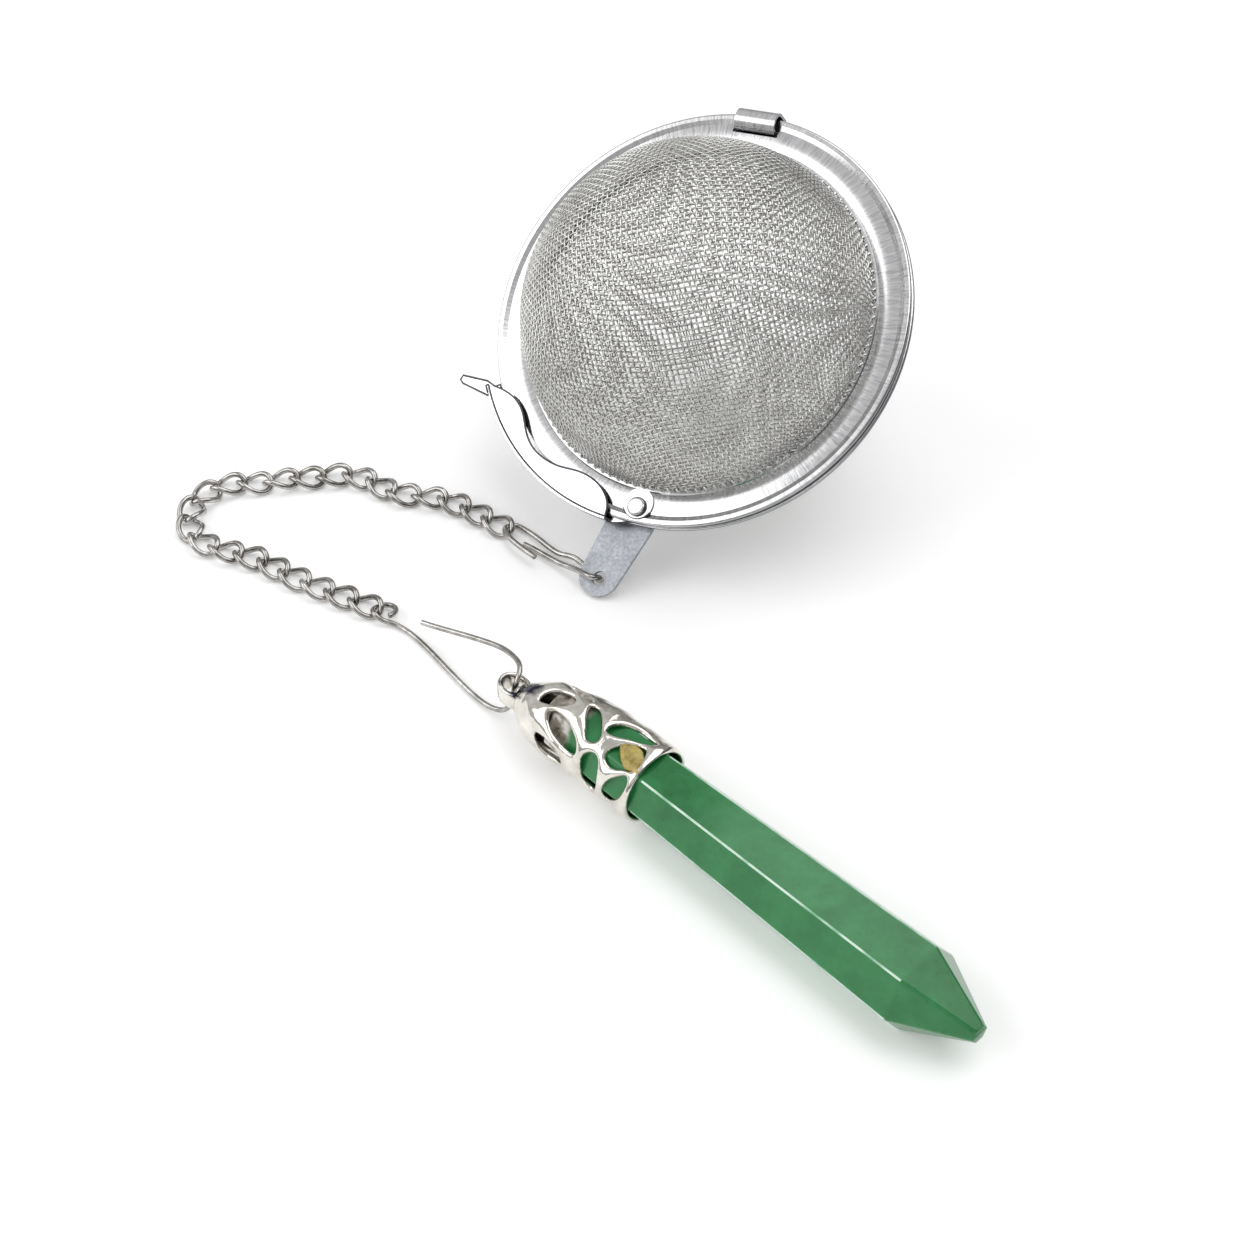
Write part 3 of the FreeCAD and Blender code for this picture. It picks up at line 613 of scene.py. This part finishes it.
# ---------------------------------------------------------------- crystal: six flats with softened edges
def crystal_piece():
    ang6 = [5, 66, 128, 184, 240, 300]
    stations = [(1.6, 3.9), (15.0, 4.155), (50.8, 5.15), (58.6, 1.1)]
    bm = bmesh.new()
    rings = []
    for x, r in stations:
        rings.append([bm.verts.new((x, r * math.cos(math.radians(a)), r * math.sin(math.radians(a)))) for a in ang6])
    for lo, hi in zip(rings, rings[1:]):
        for i in range(6):
            j = (i + 1) % 6
            bm.faces.new((lo[i], hi[i], hi[j], lo[j]))
    bm.faces.new(rings[0])
    bm.faces.new(list(reversed(rings[-1])))
    bmesh.ops.recalc_face_normals(bm, faces=bm.faces[:])
    tip = [e for e in bm.edges if all(v in rings[3] for v in e.verts)]
    bmesh.ops.bevel(bm, geom=[e for e in bm.edges if e not in tip], offset=0.26, segments=4, profile=0.5, affect="EDGES")
    bmesh.ops.bevel(bm, geom=[e for e in bm.edges if e.is_valid and min(v.co.x for v in e.verts) > 57.9 and e.calc_length() > 0.5],
                    offset=0.3, segments=3, profile=0.5, affect="EDGES")
    # long flats get cross cuts, so no face is a long sliver
    bmesh.ops.subdivide_edges(bm, edges=[e for e in bm.edges if e.calc_length() > 8.0], cuts=14, use_grid_fill=True)
    bm.normal_update()
    # the bevel faces of the long edges take the second material, the painted edge highlight
    for f in bm.faces:
        c = f.calc_center_median()
        if f.normal.xy.length > 1e-6 and abs(f.normal.x) < 0.25 and 15.0 < c.x < 51.5:
            a = math.degrees(math.atan2(f.normal.z, f.normal.y)) % 360.0
            if min(abs((a - k + 180.0) % 360.0 - 180.0) for k in ang6) < 12.5:
                f.material_index = 1
    bm.transform(Matrix.Scale(MM, 4))
    bm.transform(PEND)
    me = bpy.data.meshes.new("crystal_point")
    bm.to_mesh(me)
    bm.free()
    for poly in me.polygons:
        poly.use_smooth = True
    ob = bpy.data.objects.new("crystal_point", me)
    scene.collection.objects.link(ob)
    me.materials.append(CRYSTAL)
    me.materials.append(STONE_EDGE_HIGHLIGHT)
    wn = ob.modifiers.new("weighted", "WEIGHTED_NORMAL")
    wn.keep_sharp = False
    wn.weight = 80
    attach(ob, "pendant")
    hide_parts("crystal")
    return ob


# ---------------------------------------------------------------- cap: cast openwork shell with a bail
CAP_X = [-4.7, -4.2, -3.2, -1.0, 2.0, 5.0, 9.0, 12.0, 14.0, 14.6]
CAP_R = [0.9, 1.7, 2.6, 3.7, 4.25, 4.5, 4.55, 4.5, 4.65, 4.7]
OFF_X = [-4.7, -1.0, 2.0, 5.0, 9.0]
OFF_Y = [-0.95, -0.8, -0.5, -0.15, 0.0]
# openings as (distance along the axis, degrees round it)
LEAVES = [
    [(-0.60, 115.5), (-0.63, 102.3), (-0.32, 87.7), (0.50, 77.2), (1.84, 77.8), (2.64, 82.4), (2.87, 92.9), (2.32, 102.1), (1.40, 108.9), (0.35, 112.5)],
    [(1.47, 118.6), (1.64, 130.6), (2.45, 143.0), (3.60, 152.3), (4.90, 158.4), (6.20, 159.3), (6.61, 153.6), (6.13, 140.1), (5.17, 130.4), (3.92, 121.5), (2.52, 116.4)],
    [(4.44, 77.8), (5.05, 95.6), (6.09, 111.9), (6.59, 122.7), (7.11, 127.4), (7.99, 123.9), (8.22, 116.6), (7.52, 102.8), (6.32, 85.7), (5.23, 76.4)],
    [(8.06, 99.7), (8.01, 90.2), (8.46, 79.8), (9.27, 69.5), (10.33, 61.8), (11.82, 60.0), (12.93, 62.7), (13.05, 73.1), (11.85, 82.3), (10.76, 88.7), (9.76, 96.3), (8.85, 100.9)],
    [(10.09, 134.7), (9.91, 124.1), (10.11, 113.2), (10.67, 103.8), (11.50, 94.0), (12.75, 87.6), (13.28, 92.2), (13.63, 104.6), (13.75, 115.9), (13.57, 125.4), (12.55, 130.1), (11.69, 137.7), (10.80, 139.1)],
    [(7.62, 145.6), (8.23, 138.6), (9.07, 137.8), (9.62, 146.9), (9.94, 161.7), (10.04, 180.4), (9.40, 204.0), (8.60, 208.0), (7.92, 195.0), (7.74, 173.5), (7.48, 157.1)],
    [(13.20, 135.1), (13.70, 140.4), (13.80, 152.5), (13.42, 171.2), (12.17, 190.8), (11.10, 207.0), (10.69, 192.5), (11.07, 170.4), (11.64, 154.5), (12.45, 142.7)],
    [(0.75, 168.0), (1.45, 164.0), (2.69, 163.3), (4.13, 169.4), (4.93, 184.1), (4.40, 203.0), (2.90, 209.0), (1.47, 203.9), (0.82, 187.5)],
    [(-0.11, 41.1), (1.35, 46.3), (3.60, 63.5), (4.10, 71.5), (3.23, 73.0), (1.90, 67.1)],
]
CAP_GLUE = [(10.3, 104.0), (11.2, 94.0), (12.7, 89.5), (13.9, 104.0), (14.55, 116.0), (14.5, 127.0), (13.57, 125.4), (12.55, 130.1), (11.26, 118.0)]


def cap_radius(x):
    # smoothed profile: mean of the interpolation over a short window
    return sum(np.interp(x + d, CAP_X, CAP_R) for d in (-0.6, -0.3, 0.0, 0.3, 0.6)) / 5.0


def cap_offset(x):
    return sum(np.interp(x + d, OFF_X, OFF_Y) for d in (-0.8, -0.4, 0.0, 0.4, 0.8)) / 5.0


def soften(poly, times=2):
    P = np.array(poly, float)
    for _ in range(times):
        Q = np.roll(P, -1, axis=0)
        P = np.stack([0.75 * P + 0.25 * Q, 0.25 * P + 0.75 * Q], axis=1).reshape(-1, 2)
    return P


def polygon_distance(pts, poly):
    """Signed distance, positive outside."""
    A, B = poly, np.roll(poly, -1, axis=0)
    best = np.full(len(pts), 1e9)
    inside = np.zeros(len(pts), bool)
    for a, b in zip(A, B):
        ab = b - a
        t = np.clip(((pts - a) @ ab) / (ab @ ab), 0, 1)
        d = pts - (a + t[:, None] * ab)
        best = np.minimum(best, np.einsum("ij,ij->i", d, d))
        c = (a[1] > pts[:, 1]) != (b[1] > pts[:, 1])
        with np.errstate(divide="ignore", invalid="ignore"):
            xs = (b[0] - a[0]) * (pts[:, 1] - a[1]) / (b[1] - a[1]) + a[0]
        inside ^= c & (pts[:, 0] < xs)
    d = np.sqrt(best)
    return np.where(inside, -d, d)


ARC = math.radians(1) * 4.4          # mm of girth per degree


def metal_distance(pts, polys, x_end):
    """How far a point (x, girth) is inside the metal."""
    d = x_end - pts[:, 0]
    for poly in polys:
        lo, hi = poly.min(0) - 2.0, poly.max(0) + 2.0
        m = np.all((pts > lo) & (pts < hi), axis=1)
        if m.any():
            d[m] = np.minimum(d[m], polygon_distance(pts[m], poly))
    return d


def cap_piece():
    turn_all = 360.0 * ARC
    polys = []
    for leaf in LEAVES:
        for extra in (0.0, 180.0):
            base = soften([(x, (a + extra) * ARC) for x, a in leaf])
            for wrap in (-turn_all, 0.0, turn_all):
                q = base + np.array([0.0, wrap])
                if q[:, 1].max() > -2.5 and q[:, 1].min() < turn_all + 2.5:
                    polys.append(q)
    nx, na = 190, 270
    x_end = 14.6
    xs = np.linspace(-4.7, x_end, nx)
    ss = np.arange(na) * (turn_all / na)
    X, S = np.meshgrid(xs, ss, indexing="ij")
    P = np.stack([X.ravel(), S.ravel()], axis=1)
    cell = (x_end + 4.7) / (nx - 1)
    d = metal_distance(P, polys, x_end + 1e-6)
    for _ in range(2):                # bring near points onto the openings' outlines
        m = (np.abs(d) < 0.75 * cell) & (P[:, 0] < x_end - 0.3) & (P[:, 0] > -4.4)
        e = 0.01
        gx = (metal_distance(P[m] + [e, 0], polys, x_end) - metal_distance(P[m] - [e, 0], polys, x_end)) / (2 * e)
        gs = (metal_distance(P[m] + [0, e], polys, x_end) - metal_distance(P[m] - [0, e], polys, x_end)) / (2 * e)
        g = np.stack([gx, gs], axis=1)
        gl = np.maximum((g ** 2).sum(1), 0.25)
        P[m] -= g * (d[m] / gl)[:, None]
        d = metal_distance(P, polys, x_end + 1e-6)
    dd = np.clip(d, 0.0, None)
    dd[dd < 0.012] = 0.0
    w = 0.62
    bulge = np.sqrt(np.clip(1 - (1 - np.clip(dd / w, 0, 1)) ** 2, 0, 1))
    ridge = np.clip((dd - w) / 0.9, 0, 1)
    r0 = cap_radius(P[:, 0])
    th = P[:, 1] / ARC * math.pi / 180
    swirl = 0.05 * np.sin(P[:, 0] * 1.7 + th * 3.0) + 0.04 * np.sin(P[:, 0] * 0.9 - th * 5.0)
    r_out = r0 - 0.44 + 0.36 * bulge + 0.10 * ridge + swirl * bulge
    r_in = r0 - 0.44 - 0.30 * bulge
    oy = cap_offset(P[:, 0])

    def place(r):
        return np.stack([P[:, 0], oy + r * np.cos(th), r * np.sin(th)], axis=1)

    V = np.concatenate([place(r_out), place(r_in)])
    n = nx * na
    idx = np.arange(n).reshape(nx, na)
    a, b = idx[:-1], idx[1:]
    q = np.stack([a, b, np.roll(b, -1, axis=1), np.roll(a, -1, axis=1)], axis=-1).reshape(-1, 4)
    keep = (d[q] > -0.3 * cell).all(axis=1) & (dd[q].max(axis=1) > 0)
    q = q[keep]
    faces = np.concatenate([q[:, ::-1], q + n])
    bm = bmesh.new()
    vs = [bm.verts.new(v) for v in V]
    for f in faces:
        try:
            bm.faces.new([vs[k] for k in f])
        except ValueError:
            pass
    bmesh.ops.delete(bm, geom=[v for v in bm.verts if not v.link_faces], context="VERTS")
    bmesh.ops.remove_doubles(bm, verts=bm.verts[:], dist=0.004)
    # close the neck end
    ends = [e for e in bm.edges if e.is_boundary and max(v.co.x for v in e.verts) < -4.6]
    if ends:
        bmesh.ops.holes_fill(bm, edges=ends, sides=0)
    bmesh.ops.smooth_vert(bm, verts=[v for v in bm.verts if v.co.x > -4.5 and v.co.x < 14.4], factor=0.35, use_axis_x=True, use_axis_y=True, use_axis_z=True)
    bmesh.ops.recalc_face_normals(bm, faces=bm.faces[:])
    bail_into(bm)
    bm.transform(Matrix.Scale(MM, 4))
    bm.transform(PEND)
    me = bpy.data.meshes.new("cap_openwork")
    bm.to_mesh(me)
    bm.free()
    for poly in me.polygons:
        poly.use_smooth = True
    ob = bpy.data.objects.new("cap_openwork", me)
    scene.collection.objects.link(ob)
    me.materials.append(SILVER)
    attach(ob, "pendant")
    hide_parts("pendant_cap")
    return ob


def bail_into(bm):
    """Rounded loop band at the closed end, its hole upright, and the neck that joins it to the dome."""
    cx, cy, cz = -5.9, -0.9, -0.45
    seg, prof = 64, 20
    rings = []
    for i in range(seg):
        t = 2 * math.pi * i / seg
        # centre line of the band: a rounded loop, longer towards the dome
        lx = 1.72 * math.cos(t)
        ly = 1.36 * math.sin(t)
        nx_, ny_ = math.cos(t) / 1.72, math.sin(t) / 1.36
        l = math.hypot(nx_, ny_)
        nx_, ny_ = nx_ / l, ny_ / l
        wide = 0.36 + (0.22 if math.cos(t) > 0 else 0.0) * math.cos(t) ** 2
        high = 1.12 - 0.12 * math.cos(t) * (1 if math.cos(t) < 0 else -1.2)
        ring = []
        for k in range(prof):
            p = 2 * math.pi * k / prof
            c, s_ = math.cos(p), math.sin(p)
            ox = wide * math.copysign(abs(c) ** 0.8, c)
            oz = high * math.copysign(abs(s_) ** 0.62, s_)
            ring.append(bm.verts.new((cx + lx + nx_ * ox, cy + ly + ny_ * ox, cz + oz)))
        rings.append(ring)
    for i in range(seg):
        A, B = rings[i], rings[(i + 1) % seg]
        for k in range(prof):
            j = (k + 1) % prof
            bm.faces.new((A[k], B[k], B[j], A[j]))
    # neck: from the loop's inner end out to the dome
    stations = [(-4.35, -0.92, 0.75, 0.95), (-4.0, -0.93, 1.25, 1.25), (-3.5, -0.92, 1.85, 1.75), (-2.9, -0.90, 2.35, 2.3), (-2.2, -0.86, 2.5, 2.5)]
    prev = None
    for x, y, ry, rz in stations:
        ring = [bm.verts.new((x, y + ry * math.cos(2 * math.pi * k / 40), -0.3 * max(0.0, (-2.2 - x) / 2.2) + rz * math.sin(2 * math.pi * k / 40))) for k in range(40)]
        if prev:
            for k in range(40):
                j = (k + 1) % 40
                bm.faces.new((prev[k], prev[j], ring[j], ring[k]))
        else:
            bm.faces.new(list(reversed(ring)))
        prev = ring
    bm.faces.new(prev)


def glue_piece():
    """Set adhesive that has crept out through one opening to the rim."""
    poly = soften([(x, a * ARC) for x, a in CAP_GLUE])
    lo, hi = poly.min(0), poly.max(0)
    n = 44
    xs = np.linspace(lo[0], hi[0], n)
    ss = np.linspace(lo[1], hi[1], n)
    X, S = np.meshgrid(xs, ss, indexing="ij")
    P = np.stack([X.ravel(), S.ravel()], axis=1)
    d = -polygon_distance(P, poly)
    m = np.abs(d) < 0.1
    e = 0.01
    g = np.stack([(polygon_distance(P[m] - [e, 0], poly) - polygon_distance(P[m] + [e, 0], poly)) / (2 * e),
                  (polygon_distance(P[m] - [0, e], poly) - polygon_distance(P[m] + [0, e], poly)) / (2 * e)], axis=1)
    P[m] -= g * d[m][:, None]
    d = -polygon_distance(P, poly)
    dd = np.clip(d, 0, None)
    bulge = np.sqrt(np.clip(1 - (1 - np.clip(dd / 0.7, 0, 1)) ** 2, 0, 1))
    lump = 0.10 * np.sin(P[:, 0] * 4.1) * np.sin(P[:, 1] * 3.3 + 0.7)
    r0 = cap_radius(P[:, 0]) - 0.34
    r = r0 + bulge * (0.30 + lump)
    ri = r0 - bulge * 0.25
    th = P[:, 1] / ARC * math.pi / 180
    oy = cap_offset(P[:, 0])
    V = np.concatenate([np.stack([P[:, 0], oy + q * np.cos(th), q * np.sin(th)], axis=1) for q in (r, ri)])
    idx = np.arange(n * n).reshape(n, n)
    a, b = idx[:-1], idx[1:]
    q = np.stack([a[:, :-1], b[:, :-1], b[:, 1:], a[:, 1:]], axis=-1).reshape(-1, 4)
    q = q[(d[q] > -0.03).all(axis=1) & (dd[q].max(axis=1) > 0)]
    bm = bmesh.new()
    vs = [bm.verts.new(v) for v in V]
    for f in np.concatenate([q[:, ::-1], q + n * n]):
        bm.faces.new([vs[k] for k in f])
    bmesh.ops.delete(bm, geom=[v for v in bm.verts if not v.link_faces], context="VERTS")
    bmesh.ops.remove_doubles(bm, verts=bm.verts[:], dist=0.004)
    bmesh.ops.recalc_face_normals(bm, faces=bm.faces[:])
    bm.transform(Matrix.Scale(MM, 4))
    bm.transform(PEND)
    me = bpy.data.meshes.new("glue_seep")
    bm.to_mesh(me)
    bm.free()
    for poly_ in me.polygons:
        poly_.use_smooth = True
    ob = bpy.data.objects.new("glue_seep", me)
    scene.collection.objects.link(ob)
    me.materials.append(GLUE)
    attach(ob, "pendant")


crystal_piece()
cap_piece()
glue_piece()


# ---------------------------------------------------------------- floor and light
def floor():
    me = bpy.data.meshes.new("floor")
    me.from_pydata([(-3, -3, 0), (3, -3, 0), (3, 3, 0), (-3, 3, 0)], [], [(0, 1, 2, 3)])
    ob = bpy.data.objects.new("floor", me)
    scene.collection.objects.link(ob)
    m, nt, b = new_material("floor_white")
    n = noise(nt, coords(nt), 40.0, 2.0, 0.5)
    nt.links.new(ramp(nt, n, [(0.3, (0.90, 0.90, 0.90)), (0.7, (0.93, 0.93, 0.93))]), b.inputs["Base Color"])
    b.inputs["Roughness"].default_value = 0.9
    b.inputs["Specular IOR Level"].default_value = 0.1
    # painted light: the floor glows faintly, lifting the shadows cast on it
    b.inputs["Emission Color"].default_value = (1.0, 1.0, 1.0, 1.0)
    b.inputs["Emission Strength"].default_value = 0.22
    me.materials.append(m)


floor()

world = bpy.data.worlds.new("studio")
world.use_nodes = True
wt = world.node_tree
bg = wt.nodes["Background"]
tc = wt.nodes.new("ShaderNodeTexCoord")
sep = wt.nodes.new("ShaderNodeSeparateXYZ")
wt.links.new(tc.outputs["Generated"], sep.inputs[0])
# a room: pale at the left and above, dim at the right and low down
fx = math_node(wt, "MULTIPLY", sep.outputs[0], -0.35)
fz = math_node(wt, "MULTIPLY", sep.outputs[2], 0.55)
fy = math_node(wt, "MULTIPLY", sep.outputs[1], 0.16)
wcol = ramp(wt, math_node(wt, "ADD", math_node(wt, "ADD", math_node(wt, "ADD", fx, fy), fz), 0.45),
            [(0.10, (0.05, 0.05, 0.055)), (0.40, (0.14, 0.14, 0.145)), (0.70, (0.36, 0.36, 0.36)), (1.0, (0.62, 0.62, 0.62))])
wt.links.new(wcol, bg.inputs[0])
bg.inputs[1].default_value = 1.0
scene.world = world
scene.view_settings.view_transform = "Standard"
scene.view_settings.look = "None"


def area(name, loc, target, size, power, size_y=None, color=(1, 1, 1)):
    ld = bpy.data.lights.new(name, "AREA")
    ld.energy = power
    ld.color = color
    ld.shape = "RECTANGLE" if size_y else "SQUARE"
    ld.size = size
    if size_y:
        ld.size_y = size_y
    ob = bpy.data.objects.new(name, ld)
    ob.location = loc
    d = Vector(target) - Vector(loc)
    ob.rotation_euler = d.to_track_quat("-Z", "Y").to_euler()
    scene.collection.objects.link(ob)
    return ob


area("key", (-1.089, -0.134, 0.769), (0, 0, 0), 1.25, 6.2, 0.97)
area("top", (0.45, 0.30, 1.30), (0, 0, 0), 1.6, 11.0, 1.5)
area("front", (-0.1, -1.1, 0.55), (0, 0, 0), 0.9, 0.8, 0.4)
